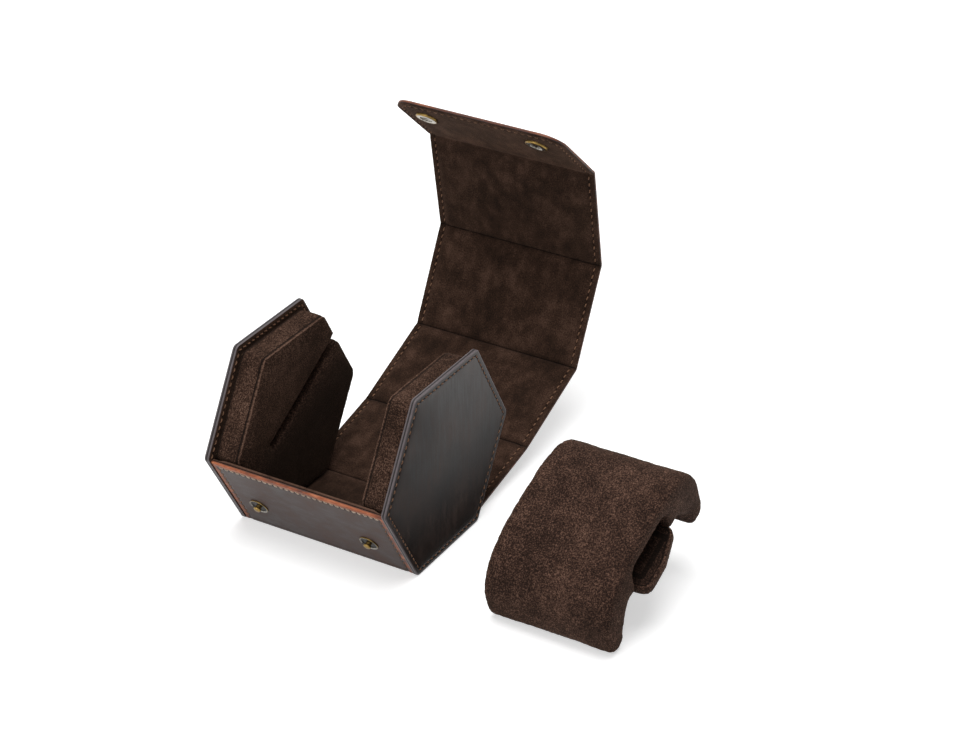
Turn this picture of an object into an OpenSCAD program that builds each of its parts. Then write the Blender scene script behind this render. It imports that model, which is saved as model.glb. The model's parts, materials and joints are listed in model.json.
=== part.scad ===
// Hexagonal travel case for one wrist watch, lying open on its base.
// A leather wrap of six panels runs round two hexagonal end panels. Its front wall and
// base are fixed; four panels and a closing flap fold at creases and make the lid.
// A suede block on each end panel has a slanting groove for the tongue of the cushion.
// The cushion is out of the case and stands beside it.
// Axes: X across the case, Y from front to back, Z up. The origin is the middle of the
// underside of the base.

/* [Case] */
// Side of the hexagonal end panel
hex_side = 44; // [42:0.5:48]
// Width over both end panels
case_w = 80; // [78:1:92]
// Radius of the corners of an end panel
panel_corner_r = 2.5; // [1:0.5:4]

/* [Layers] */
// Thickness of the outer leather of the wrap and of the end panels
leather_t = 1.2; // [1.0:0.1:1.4]
// Thickness of the stiffening board
board_t = 0.6; // [0.4:0.1:0.8]
// Thickness of the suede lining
lining_t = 0.6; // [0.4:0.1:0.8]
// Margin between the stiffening board and the stitched edge
board_margin = 4; // [3:0.5:6]
// Thickness of the leather of an end panel
panel_leather_t = 1.0; // [0.8:0.1:1.2]
// Thickness of the board of an end panel
panel_board_t = 0.5; // [0.3:0.1:0.6]
// Thickness of the lining of an end panel
panel_lining_t = 0.5; // [0.4:0.1:0.6]

/* [Lid in the open position] */
// Slope of the lower back panel
slope_0 = 12; // [11:1:25]
// Slope of the upper back panel
slope_1 = 22; // [20:1:40]
// Slope of the top panel
slope_2 = 63; // [50:1:75]
// Slope of the front panel of the lid
slope_3 = 100; // [85:1:110]
// Slope of the closing flap
slope_4 = 138; // [115:1:150]
// Play between the lid and each end panel
lid_play = 0.35; // [0.3:0.05:0.6]

/* [Flap and press studs] */
// Length of the flap from its crease
flap_len = 39.6; // [36:0.2:39.6]
// Radius of the two free corners of the flap
flap_corner_r = 9; // [4:0.5:14]
// Distance between the two press studs
stud_pitch = 49.5; // [40:0.5:56]
// Distance from the middle of the case to the middle of the pair of studs
stud_shift = -1.5; // [-3:0.5:3]
// Distance from the front corner of the hexagon down to the studs, along the wall
stud_drop = 28.6; // [26:0.1:29]

/* [Side blocks] */
// Clear width between the two side blocks
bay_w = 53.5; // [53:0.5:56]
// Width of the groove
groove_w = 4.6; // [4.4:0.1:5.2]
// Depth of the groove
groove_depth = 6.5; // [6:0.5:7]
// Distance of the groove's middle line from the middle of the hexagon
groove_offset = 4.6; // [2:0.1:6]

/* [Cushion] */
// Width of the cushion
cushion_w = 52; // [50:0.5:52]
// Length of the cushion
cushion_len = 75; // [70:1:78]
// Height of the crown above the tops of the legs
crown_h = 21.5; // [21:0.5:26]
// Reach of the tongue past each side of the cushion
tab_out = 5; // [4:0.1:5.5]
// Thickness of the tongue
tongue_t = 4; // [3:0.1:4.2]
// Distance of the cushion's middle from the middle of the case
cushion_x = 101.5; // [90:0.5:140]
// Tilt of the cushion where it stands
cushion_tilt = 22.5; // [20:0.5:26]

/* [Hidden] */
$fn = 64;

leather_brown = "#33291f";
edge_brown = "#7c4326";
board_grey = "#8d8478";
suede_brown = "#43332b";
brass = "#a98a4c";
spring_grey = "#9a9a98";
cushion_brown = "#4a382e";

eps = 0.01;
wrap_t = leather_t + board_t + lining_t;
panel_t = panel_leather_t + panel_board_t + panel_lining_t;
inner_w = case_w - 2 * panel_t;
lid_w = inner_w - 2 * lid_play;

// The hexagon: centre height, and its front corner.
hex_z = hex_side * cos(30);
front_y = -hex_side;

// The leather bends about a line half its thickness below its outer face.
bend_in = leather_t / 2;
panel_len = hex_side - 2 * bend_in * tan(30);
// The crease of the flap lies past the front corner, so that the flap goes over the wall.
flap_reach = 1.8;
// Each layer stops short of a crease, so that two panels can fold to 60 degrees.
leather_gap = 0.4;
lining_gap = 1.3;
// The lid's lining and board stop before the top edge of the front wall.
front_gap = 4.7;
lid_front_len = panel_len + flap_reach;

// Crease positions [y, z] with the lid open.
function step(from, slope, len) = [from[0] + len * cos(slope), from[1] + len * sin(slope)];
crease_0 = [hex_side / 2 - bend_in * tan(30), bend_in];
crease_1 = step(crease_0, slope_0, panel_len);
crease_2 = step(crease_1, slope_1, panel_len);
crease_3 = step(crease_2, slope_2, panel_len);
crease_4 = step(crease_3, slope_3, lid_front_len);

// The front wall stands inside the outline of the end panels, below the lid's fold.
wall_recess = 0.5;
wall_top = 2.3;
// Where a stud meets the flap, measured from the flap's crease.
stud_on_flap = stud_drop - (flap_reach - bend_in * tan(30)) * cos(60) - bend_in * sin(60);

// Press studs.
flange_r = 4;
flange_t = 0.6;
flange_rim = 0.7;
washer_r = 3;
washer_t = 0.3;
post_neck_r = 1.1;
post_head_r = 1.5;
post_h = 2.2;
rivet_r = 0.9;
socket_r = 4.6;
socket_bore_r = 2.4;
socket_h = 1.2;
cap_r = 5.2;
cap_t = 0.9;
eyelet_r = 2.9;
spring_wire_r = 0.25;

// Side blocks. The board is behind the groove, and the other parts of the core are round it.
block_depth = (inner_w - bay_w) / 2;
block_inset = wrap_t + 0.9;
cover_t = 1.2;
groove_tilt = 30;
groove_end = -18;
groove_lining = 1;
groove_band = groove_w + 2 * groove_lining;
block_front_x = inner_w / 2 - block_depth + cover_t;
block_board_x = inner_w / 2 - block_depth + groove_depth + groove_lining;

// Cushion profile, measured along (a) and up (b) from the middle, where its legs start.
leg_r = 5.5;
front_foot = 9.5;
back_foot = 13;
leg_a = cushion_len / 2 - leg_r;
recess_top_half = 20;
recess_foot_half = 27;
hollow_a = -0.8;
hollow_half = 14;
hollow_top = 15.5;
hollow_r = 4;
tongue_a = -0.5;
tongue_b = 4.2;
tongue_len = 29;
tongue_root_len = 41;
tongue_corner_r = 4;
tongue_waist_a = -1.5;
tongue_lead = 2.8;
cushion_y = 1;
cushion_z = leg_a * sin(cushion_tilt) + (front_foot - leg_r) * cos(cushion_tilt) + leg_r + 0.2;

// ---- Placing and extruding ----

// Extrudes a YZ outline along X, centred on the middle of the case.
module across(w) {
    translate([-w / 2, 0, 0]) rotate([90, 0, 90]) linear_extrude(w) children();
}

// Extrudes a YZ outline along X from x0 over a depth t.
module slab(x0, t) {
    translate([x0, 0, 0]) rotate([90, 0, 90]) linear_extrude(t) children();
}

// Places a panel of the lid: +Y runs along it from its crease, +Z is its lined side.
module on_crease(crease, slope) {
    translate([0, crease[0], crease[1]]) rotate([slope, 0, 0]) children();
}

// Places the front wall: +Y runs down it from the front corner, +Z points into the case.
module on_front_wall() {
    translate([0, front_y, hex_z]) rotate([-60, 0, 0]) translate([0, 0, wall_recess]) children();
}

// A flat layer between two distances from a crease.
module layer(w, y0, y1, z0, t) {
    translate([-w / 2, y0, z0]) cube([w, y1 - y0, t]);
}

module at_studs(y) {
    for (side = [-1, 1])
        translate([stud_shift + side * stud_pitch / 2, y, 0]) children();
}

// Mirrors a right-hand piece to the left when side is -1.
module on_side(side) {
    if (side > 0) children();
    else mirror([1, 0, 0]) children();
}

// ---- Outlines in YZ ----

module hexagon(side) {
    translate([0, hex_z]) polygon([for (i = [0:5]) side * [cos(60 * i), sin(60 * i)]]);
}

// Hexagon set in from the end panel's outline, with rounded corners.
module round_hexagon(inset, r) {
    offset(r = r) hexagon(hex_side - (inset + r) / cos(30));
}

// Places an outline on the groove: +X along the groove to its mouth, the origin at the
// middle of the hexagon.
module on_groove() {
    translate([0, hex_z]) rotate(groove_tilt) children();
}

module groove_outline() {
    on_groove() translate([groove_end, groove_offset - groove_w / 2]) square([2 * hex_side, groove_w]);
}

module above_groove_outline() {
    on_groove() translate([-2 * hex_side, groove_offset + groove_band / 2])
        square([4 * hex_side, 2 * hex_side]);
}

module below_groove_outline() {
    on_groove() translate([-2 * hex_side, groove_offset - groove_band / 2 - 2 * hex_side])
        square([4 * hex_side, 2 * hex_side]);
}

module groove_stop_outline() {
    on_groove() translate([groove_end - groove_lining - 2 * hex_side, groove_offset - groove_band / 2])
        square([2 * hex_side, groove_band]);
}

module pad_outer_outline() {
    steps = 40;
    dome = [for (i = [0:steps]) let (t = 180 * i / steps)
        [cushion_len / 2 * sign(cos(t)) * pow(abs(cos(t)), 0.72), crown_h * pow(sin(t), 0.8)]];
    polygon(dome);
    for (leg = [[-leg_a, front_foot], [leg_a, back_foot]]) {
        translate([leg[0], leg_r - leg[1]]) circle(leg_r);
        translate([leg[0] - leg_r, leg_r - leg[1]]) square([2 * leg_r, leg[1] - leg_r + eps]);
    }
    translate([-leg_a, leg_r - front_foot]) square([2 * leg_a, front_foot - leg_r + eps]);
}

module pad_recess_outline() {
    b = leg_r - front_foot;
    polygon([[-recess_foot_half, -crown_h], [recess_foot_half, -crown_h],
             [recess_foot_half, b], [recess_top_half, tongue_b],
             [-recess_top_half, tongue_b], [-recess_foot_half, b]]);
}

module pad_hollow_outline() {
    translate([hollow_a - hollow_half, tongue_b]) square([2 * hollow_half, hollow_top - tongue_b - hollow_r]);
    translate([hollow_a, hollow_top - hollow_r]) offset(r = hollow_r)
        square([2 * (hollow_half - hollow_r), eps], center = true);
}

// ---- Base and front wall ----

module base_leather() {
    y1 = crease_0[0] - leather_gap;
    color(leather_brown) across(inner_w)
        polygon([[-hex_side / 2, 0], [y1, 0], [y1, leather_t],
                 [-hex_side / 2 + leather_t * tan(30), leather_t]]);
}

module base_board() {
    w = inner_w - 2 * board_margin;
    half = hex_side / 2 - board_margin;
    color(board_grey) layer(w, -half, half, leather_t, board_t);
}

module base_lining() {
    y_end = crease_0[0] - lining_gap;
    z1 = wrap_t;
    color(suede_brown) difference() {
        across(inner_w) polygon([[-hex_side / 2 + leather_t * tan(30), leather_t], [y_end, leather_t],
                                 [y_end, z1], [-hex_side / 2 + z1 * tan(30), z1]]);
        base_board();
    }
}

// A point of the wall's section, from its distance below the front corner and its depth.
function wall_point(along, depth) = [
    front_y + along * cos(60) + (depth + wall_recess) * cos(30),
    hex_z - along * sin(60) + (depth + wall_recess) * sin(30)];

// The wall's foot is mitred along the plane that halves the angle with the base.
function foot_along(depth) = hex_side - (depth + wall_recess) * tan(30);

module front_wall_layer(t0, t1) {
    across(inner_w) polygon([wall_point(wall_top, t0), wall_point(foot_along(t0), t0),
                             wall_point(foot_along(t1), t1), wall_point(wall_top, t1)]);
}

module front_wall_leather() {
    color(leather_brown) difference() {
        front_wall_layer(0, leather_t);
        on_front_wall() at_studs(stud_drop) translate([0, 0, -leather_t])
            cylinder(r = rivet_r, h = 3 * leather_t);
    }
}

module front_wall_board_blank() {
    w = inner_w - 2 * board_margin;
    on_front_wall() layer(w, wall_top + board_margin, hex_side - 2 * board_margin, leather_t, board_t);
}

module front_wall_board() {
    color(board_grey) difference() {
        front_wall_board_blank();
        on_front_wall() at_studs(stud_drop) cylinder(r = rivet_r, h = 2 * wrap_t);
    }
}

module front_wall_lining() {
    color(suede_brown) difference() {
        front_wall_layer(leather_t, wrap_t);
        front_wall_board_blank();
        stud_backs();
    }
}

// ---- End panels ----

module end_panel_leather(side) {
    color(leather_brown) on_side(side)
        slab(case_w / 2 - panel_leather_t, panel_leather_t) round_hexagon(0, panel_corner_r);
}

module end_panel_board_shape() {
    slab(inner_w / 2 + panel_lining_t, panel_board_t) hexagon(hex_side - board_margin);
}

module end_panel_board(side) {
    color(board_grey) on_side(side) end_panel_board_shape();
}

// The lining is stitched to the leather round the board.
module end_panel_lining(side) {
    color(suede_brown) on_side(side) difference() {
        slab(inner_w / 2, panel_lining_t + panel_board_t) round_hexagon(0, panel_corner_r);
        end_panel_board_shape();
    }
}

// ---- Side blocks ----

module block_core_outline() {
    hexagon(hex_side - (block_inset + cover_t) / cos(30));
}

// A part of the core in front of its board, within the outline of its children.
module block_front_part() {
    slab(block_front_x, block_board_x - block_front_x) intersection() {
        block_core_outline();
        children();
    }
}

module block_board_shape() {
    slab(block_board_x, inner_w / 2 - block_board_x) block_core_outline();
}

module block_upper_shape() {
    block_front_part() above_groove_outline();
}

module block_lower_shape() {
    block_front_part() below_groove_outline();
}

module block_stop_shape() {
    block_front_part() groove_stop_outline();
}

module side_block_board(side) {
    color(board_grey) on_side(side) block_board_shape();
}

module side_block_upper(side) {
    color(board_grey) on_side(side) block_upper_shape();
}

module side_block_lower(side) {
    color(board_grey) on_side(side) block_lower_shape();
}

module side_block_stop(side) {
    color(board_grey) on_side(side) block_stop_shape();
}

// The suede goes round the block and down into the groove.
module side_block_cover(side) {
    color(suede_brown) on_side(side) difference() {
        slab(inner_w / 2 - block_depth, block_depth) round_hexagon(block_inset, 3);
        block_board_shape();
        block_upper_shape();
        block_lower_shape();
        block_stop_shape();
        slab(inner_w / 2 - block_depth - eps, groove_depth + eps) groove_outline();
    }
}

// ---- Press studs on the front wall ----

module stud_flange() {
    rotate_extrude() polygon([
        [rivet_r, 0], [flange_r, 0], [flange_r, -flange_t], [flange_r - flange_rim, -flange_t],
        [flange_r - flange_rim - flange_t, -flange_t / 2], [rivet_r, -flange_t / 2]]);
}

module stud_flanges() {
    color(brass) on_front_wall() at_studs(stud_drop) stud_flange();
}

// The post has a rivet shank through the wall, a narrow neck and a wider rounded head.
module stud_post() {
    tip = -flange_t / 2 - post_h;
    rotate_extrude() polygon([
        [0, leather_t + board_t], [rivet_r, leather_t + board_t], [rivet_r, -flange_t / 2],
        [post_neck_r, -flange_t / 2], [post_neck_r, tip + 1.3], [post_head_r, tip + 0.9],
        [post_head_r, tip + 0.5], [post_head_r - 0.4, tip], [0, tip]]);
}

module stud_posts() {
    color(brass) on_front_wall() at_studs(stud_drop) stud_post();
}

// A flat washer that the rivet is clenched over, under the lining.
module stud_backs() {
    color(brass) on_front_wall() at_studs(stud_drop) translate([0, 0, leather_t + board_t])
        cylinder(r = washer_r, h = washer_t);
}

// ---- Lid ----

module lid_leather(len) {
    color(leather_brown) layer(lid_w, leather_gap, len - leather_gap, -bend_in, leather_t);
}

module lid_board(y0, y1) {
    w = lid_w - 2 * board_margin;
    color(board_grey) layer(w, y0 + board_margin, y1 - board_margin, leather_t - bend_in, board_t);
}

module lid_lining(y0, y1) {
    color(suede_brown) difference() {
        layer(lid_w, y0, y1, leather_t - bend_in, board_t + lining_t);
        lid_board(y0, y1);
    }
}

// Three panels of the lid are alike between their creases.
module plain_board() {
    lid_board(lining_gap, panel_len - lining_gap);
}

module plain_lining() {
    lid_lining(lining_gap, panel_len - lining_gap);
}

module lid_back_lower_leather() {
    on_crease(crease_0, slope_0) lid_leather(panel_len);
}

module lid_back_lower_board() {
    on_crease(crease_0, slope_0) plain_board();
}

module lid_back_lower_lining() {
    on_crease(crease_0, slope_0) plain_lining();
}

module lid_back_upper_leather() {
    on_crease(crease_1, slope_1) lid_leather(panel_len);
}

module lid_back_upper_board() {
    on_crease(crease_1, slope_1) plain_board();
}

module lid_back_upper_lining() {
    on_crease(crease_1, slope_1) plain_lining();
}

module lid_top_leather() {
    on_crease(crease_2, slope_2) lid_leather(panel_len);
}

module lid_top_board() {
    on_crease(crease_2, slope_2) plain_board();
}

module lid_top_lining() {
    on_crease(crease_2, slope_2) plain_lining();
}

module lid_front_leather() {
    on_crease(crease_3, slope_3) lid_leather(lid_front_len);
}

module lid_front_board() {
    on_crease(crease_3, slope_3) lid_board(lining_gap, lid_front_len - front_gap);
}

module lid_front_lining() {
    on_crease(crease_3, slope_3) lid_lining(lining_gap, lid_front_len - front_gap);
}

// ---- Flap ----

module flap_outline(y0) {
    r = flap_corner_r;
    hull() {
        translate([-lid_w / 2, y0]) square([lid_w, eps]);
        for (side = [-1, 1]) translate([side * (lid_w / 2 - r), flap_len - r]) circle(r, $fn = 48);
    }
}

module flap_sheet(y0, z0, t) {
    translate([0, 0, z0]) linear_extrude(t) flap_outline(y0);
}

module flap_holes() {
    at_studs(stud_on_flap) translate([0, 0, -2 * wrap_t]) cylinder(r = eyelet_r, h = 4 * wrap_t);
}

module flap_leather() {
    color(leather_brown) on_crease(crease_4, slope_4) difference() {
        flap_sheet(leather_gap, -bend_in, leather_t);
        flap_holes();
    }
}

module flap_lining() {
    color(suede_brown) on_crease(crease_4, slope_4) difference() {
        flap_sheet(lining_gap, leather_t - bend_in, lining_t);
        flap_holes();
    }
}

// The cap covers the outside of the flap; its eyelet goes through to the socket.
module snap_cap() {
    top = leather_t + lining_t - bend_in;
    rotate_extrude() polygon([
        [0, -bend_in - cap_t], [cap_r - 1.4, -bend_in - cap_t], [cap_r, -bend_in - 0.3],
        [cap_r, -bend_in], [eyelet_r, -bend_in], [eyelet_r, top],
        [socket_bore_r, top], [socket_bore_r, -bend_in], [0, -bend_in]]);
}

module snap_caps() {
    color(brass) on_crease(crease_4, slope_4) at_studs(stud_on_flap) snap_cap();
}

// The socket is a ring with a groove inside its bore for the spring.
module snap_socket() {
    z0 = leather_t + lining_t - bend_in;
    zs = z0 + socket_h / 2;
    rs = socket_bore_r + 0.45;
    rotate_extrude() polygon([
        [socket_bore_r, z0], [socket_r, z0], [socket_r, z0 + 0.4], [socket_r - 0.8, z0 + socket_h],
        [socket_bore_r, z0 + socket_h], [socket_bore_r, zs + 0.3], [rs, zs + 0.3], [rs, zs - 0.3],
        [socket_bore_r, zs - 0.3]]);
}

module snap_sockets() {
    color(brass) on_crease(crease_4, slope_4) at_studs(stud_on_flap) snap_socket();
}

module socket_springs() {
    zs = leather_t + lining_t - bend_in + socket_h / 2;
    color(spring_grey) on_crease(crease_4, slope_4) at_studs(stud_on_flap) translate([0, 0, zs])
        rotate_extrude() translate([socket_bore_r + 0.15, 0]) circle(spring_wire_r);
}

// ---- Cushion ----

// Places the cushion: +Y runs along it from front to back, +Z is towards its crown.
module on_cushion() {
    translate([cushion_x, cushion_y, cushion_z]) rotate([cushion_tilt, 0, 0]) children();
}

// The tab's back end is narrower, so that it leads into the groove.
module tongue_shape() {
    half = cushion_w / 2 + tab_out - tongue_corner_r;
    front = tongue_a - tongue_len / 2 + tongue_corner_r;
    back = tongue_a + tongue_len / 2 - tongue_corner_r;
    translate([0, 0, tongue_b - tongue_t / 2]) linear_extrude(tongue_t) {
        translate([0, tongue_a]) square([cushion_w - 6, tongue_root_len], center = true);
        offset(r = tongue_corner_r)
            polygon([[-half, front], [half, front], [half, tongue_waist_a], [half - tongue_lead, back],
                     [tongue_lead - half, back], [-half, tongue_waist_a]]);
    }
}

module tongue_board_shape() {
    translate([0, tongue_a, tongue_b]) cube([cushion_w, tongue_len - 10, 1.2], center = true);
}

module cushion_pad() {
    color(cushion_brown) on_cushion() difference() {
        across(cushion_w) difference() {
            pad_outer_outline();
            pad_recess_outline();
            pad_hollow_outline();
        }
        tongue_shape();
    }
}

module cushion_tongue() {
    color(suede_brown) on_cushion() difference() {
        tongue_shape();
        tongue_board_shape();
    }
}

module cushion_tongue_board() {
    color(board_grey) on_cushion() tongue_board_shape();
}

base_leather();
base_board();
base_lining();
front_wall_leather();
front_wall_board();
front_wall_lining();
end_panel_leather(-1);  // end_panel_leather_left
end_panel_leather(1);  // end_panel_leather_right
end_panel_board(-1);  // end_panel_board_left
end_panel_board(1);  // end_panel_board_right
end_panel_lining(-1);  // end_panel_lining_left
end_panel_lining(1);  // end_panel_lining_right
side_block_board(-1);  // side_block_board_left
side_block_board(1);  // side_block_board_right
side_block_upper(-1);  // side_block_upper_left
side_block_upper(1);  // side_block_upper_right
side_block_lower(-1);  // side_block_lower_left
side_block_lower(1);  // side_block_lower_right
side_block_stop(-1);  // side_block_stop_left
side_block_stop(1);  // side_block_stop_right
side_block_cover(-1);  // side_block_cover_left
side_block_cover(1);  // side_block_cover_right
stud_flanges();
stud_posts();
stud_backs();
lid_back_lower_leather();
lid_back_lower_board();
lid_back_lower_lining();
lid_back_upper_leather();
lid_back_upper_board();
lid_back_upper_lining();
lid_top_leather();
lid_top_board();
lid_top_lining();
lid_front_leather();
lid_front_board();
lid_front_lining();
flap_leather();
flap_lining();
snap_caps();
snap_sockets();
socket_springs();
cushion_pad();
cushion_tongue();
cushion_tongue_board();
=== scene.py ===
"""Looks of a hexagonal watch travel case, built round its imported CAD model.

Lengths are in millimetres, which become metres in the meshes, and the stage's are in metres.
The wrap, one long strip of leather with a suede lining, has coordinates of its own: x across
it, s along it from the fold at the foot of the front wall, and h up from the middle of its
leather to the lined side.
"""

import json
from math import atan2, ceil, cos, dist, exp, hypot, pi, radians, sin, sqrt

import bmesh
import bpy
import numpy as np
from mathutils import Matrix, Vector, kdtree, noise


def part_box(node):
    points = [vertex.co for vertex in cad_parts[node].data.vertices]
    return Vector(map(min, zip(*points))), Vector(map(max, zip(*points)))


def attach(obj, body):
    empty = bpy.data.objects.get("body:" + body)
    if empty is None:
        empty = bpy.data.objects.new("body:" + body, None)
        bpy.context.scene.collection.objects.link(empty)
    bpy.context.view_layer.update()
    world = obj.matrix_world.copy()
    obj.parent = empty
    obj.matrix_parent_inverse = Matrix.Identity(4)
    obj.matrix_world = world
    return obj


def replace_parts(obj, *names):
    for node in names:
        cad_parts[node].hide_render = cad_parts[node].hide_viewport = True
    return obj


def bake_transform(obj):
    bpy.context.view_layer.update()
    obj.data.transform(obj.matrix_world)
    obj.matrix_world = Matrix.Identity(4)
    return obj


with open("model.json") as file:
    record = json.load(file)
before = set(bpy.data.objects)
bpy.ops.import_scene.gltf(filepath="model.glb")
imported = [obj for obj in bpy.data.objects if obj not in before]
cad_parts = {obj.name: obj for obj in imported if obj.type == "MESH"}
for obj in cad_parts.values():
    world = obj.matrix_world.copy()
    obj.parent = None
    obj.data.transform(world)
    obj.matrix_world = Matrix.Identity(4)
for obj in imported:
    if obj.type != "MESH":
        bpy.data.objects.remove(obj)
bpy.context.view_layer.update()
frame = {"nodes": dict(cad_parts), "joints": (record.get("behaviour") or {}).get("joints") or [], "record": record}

MM = 0.001

# ---- Sizes ----

LID_BODIES = ["case", "lid_back_lower", "lid_back_upper", "lid_top", "lid_front", "flap"]
CREASE_JOINTS = ["lid_fold", "back_crease", "top_crease", "front_crease", "flap_fold"]
# Half the leather's thickness, the height of the suede over a board and without one, and how
# far from the flap's crease the boards end.
LEATHER_HALF = 0.6
LINED_H = 1.8
UNBOARDED_H = 1.2
FRONT_UNBOARDED = 5.2
CREASE_HALF = 2.2
FLAP_SLOPE = radians(138)
FLAP_LENGTH = 39.6
FLAP_CORNER = 9.0
WALL_SLOPE = radians(-60)
# How far the wall's top is below the hexagon's corner, how far the wall is set in, and the gap
# at the end panels.
WALL_TOP = 2.3
WALL_RECESS = 0.5
PLAY = 0.03

STITCH_INSET = 2.3
STITCH_PITCH = 3.0
RIM_PITCH = 2.5
STITCH_LENGTH = 1.95

STUD_PITCH = 49.5
STUD_SHIFT = -1.5
STUD_DROP = 28.6
STUD_ON_FLAP = 27.35


def node_box(name):
    """Lowest and highest corner of a CAD node, in millimetres."""
    low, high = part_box(name)
    return low / MM, high / MM


def crease_at(joint):
    """The (y, z) of a crease, from the joint that stands for it."""
    place = next(j["pos_m"] for j in frame["joints"] if j["name"] == joint)
    return Vector((place[1] / MM, place[2] / MM))


PANEL_LOW, PANEL_HIGH = node_box("end_panel_leather_right")
CASE_HALF = PANEL_HIGH.x
PANEL_INSIDE = node_box("end_panel_lining_right")[0].x
PANEL_SPLIT = PANEL_LOW.x
HEX_APOTHEM = PANEL_HIGH.z / 2
HEX_SIDE = HEX_APOTHEM / cos(radians(30))
LID_HALF = node_box("lid_top_leather")[1].x
CREASES = [crease_at(name) for name in CREASE_JOINTS]


def wall_foot():
    """Where the middle of the wall's leather meets the middle of the base's, as (y, z)."""
    depth = WALL_RECESS + LEATHER_HALF
    top = Vector((-HEX_SIDE + depth * cos(radians(30)),
                  HEX_APOTHEM + depth * sin(radians(30))))
    run = (top.y - LEATHER_HALF) / sin(radians(60))
    return top + run * Vector((cos(WALL_SLOPE), sin(WALL_SLOPE))), run


WALL_FOOT, WALL_RUN = wall_foot()


def wrap_turns():
    """The folds of the wrap: how far along it each is, its (y, z), and the slope on each side."""
    places = [WALL_FOOT] + CREASES
    slopes = [WALL_SLOPE]
    for a, b in zip(places, places[1:]):
        slopes.append(atan2((b - a).y, (b - a).x))
    slopes.append(FLAP_SLOPE)
    turns = []
    s = 0.0
    for k, place in enumerate(places):
        if k:
            s += (place - places[k - 1]).length
        turns.append((s, place, slopes[k], slopes[k + 1]))
    return turns


TURNS = wrap_turns()
CREASE_S = [turn[0] for turn in TURNS[1:]]
WALL_TOP_S = WALL_TOP - WALL_RUN
FLAP_END_S = CREASE_S[4] + FLAP_LENGTH

# Unevenness of the soft surfaces: (height, size, seed) of each layer of ripples.
LINING_RIPPLES = [(0.07, 9, 1), (0.03, 2.6, 2)]
BLOCK_RIPPLES = [(0.10, 7, 3), (0.05, 1.5, 4), (0.035, 0.7, 5)]
PAD_RIPPLES = [(0.20, 9, 6), (0.13, 2.2, 7), (0.11, 1.1, 8)]
TONGUE_RIPPLES = [(0.10, 6, 9), (0.06, 1.5, 10), (0.04, 0.7, 11)]

# ---- Small functions ----


def smooth(t):
    """0 below 0, 1 above 1, and a smooth step between."""
    t = min(max(t, 0.0), 1.0)
    return t * t * (3 - 2 * t)


def hump(distance, width):
    """A bell of height 1."""
    return exp(-((distance / width) ** 2))


def ripple(point, size, seed=0.0):
    """Smooth noise from about -1 to 1 with features of that size."""
    return noise.noise(Vector(point) / size + Vector((seed, 1.7 * seed, 2.3 * seed)))


def ripples(point, layers):
    """The height of several layers of ripples at a point."""
    return sum(height * ripple(point, size, seed) for height, size, seed in layers)


def edge_round(distance, radius):
    """How far a rounded edge lies below its face, at that distance from the border."""
    if distance >= radius:
        return 0.0
    return radius - sqrt(radius**2 - (radius - max(distance, 0.0)) ** 2)


def rgb(code):
    """A hex colour as linear RGBA."""
    parts = [int(code[k : k + 2], 16) / 255 for k in (0, 2, 4)]
    return [c / 12.92 if c <= 0.04045 else ((c + 0.055) / 1.055) ** 2.4 for c in parts] + [1.0]


def spread(low, high, count):
    """That many values from low to high, both included."""
    return [low + (high - low) * k / (count - 1) for k in range(count)]


def assign(target, **values):
    """Sets those properties of something, and returns it."""
    for key, value in values.items():
        setattr(target, key, value)
    return target


def placed(name, data):
    """A new object in the scene, with that data."""
    item = bpy.data.objects.new(name, data)
    bpy.context.scene.collection.objects.link(item)
    return item


# ---- Materials ----


def put(tree, socket, value):
    """Links the value to the socket if it comes from a node, and sets it if it is constant."""
    if isinstance(value, bpy.types.NodeSocket):
        tree.links.new(value, socket)
    else:
        socket.default_value = value


def add(tree, kind, inputs=(), **settings):
    """A new shader node with its settings made and its inputs filled or linked."""
    node = assign(tree.nodes.new("ShaderNode" + kind), **settings)
    for key, value in dict(inputs).items():
        put(tree, node.inputs[key], value)
    return node


def mix(tree, factor, a, b, blend="MIX"):
    node = add(tree, "Mix", data_type="RGBA", blend_type=blend)
    put(tree, node.inputs[0], factor)
    put(tree, node.inputs[6], a)
    put(tree, node.inputs[7], b)
    return node.outputs[2]


def math_node(tree, operation, a, b=0.0, clamp=False):
    node = add(tree, "Math", {0: a, 1: b}, operation=operation, use_clamp=clamp)
    return node.outputs[0]


def blended(tree, a, share_a, b, share_b):
    """The sum of two values, each times its share."""
    return math_node(tree, "ADD", math_node(tree, "MULTIPLY", a, share_a),
                     math_node(tree, "MULTIPLY", b, share_b))


def span(tree, value, low, high, to_low=0.0, to_high=1.0):
    """value from low..high moved to to_low..to_high, and held there."""
    inputs = {"Value": value, "From Min": low, "From Max": high, "To Min": to_low, "To Max": to_high}
    return add(tree, "MapRange", inputs).outputs[0]


def attribute(tree, name, output="Fac"):
    return add(tree, "Attribute", attribute_name=name).outputs[output]


def fabric_noise(tree, scale, detail=3.0, roughness=0.6, stretch=(1, 1, 1)):
    """Noise over the piece's own flat coordinates, which are in millimetres."""
    place = add(tree, "Mapping", {"Vector": attribute(tree, "flat", "Vector"), "Scale": stretch})
    inputs = {"Vector": place.outputs[0], "Scale": scale, "Detail": detail, "Roughness": roughness}
    return add(tree, "TexNoise", inputs).outputs["Fac"]


def ramp(tree, factor, stops):
    node = add(tree, "ValToRGB", {"Fac": factor})
    elements = node.color_ramp.elements
    while len(elements) < len(stops):
        elements.new(0.5)
    for element, (place, colour) in zip(elements, stops):
        element.position = place
        element.color = rgb(colour)
    return node.outputs["Color"]


def bump(tree, height, strength, distance, normal=None):
    inputs = {"Height": height, "Strength": strength, "Distance": distance * MM}
    if normal:
        inputs["Normal"] = normal
    return add(tree, "Bump", inputs).outputs["Normal"]


def drive(tree, shader, **sockets):
    """Sets or links sockets of the shader, named with _ for each space."""
    for key, value in sockets.items():
        put(tree, shader.inputs[key.replace("_", " ")], value)


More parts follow.
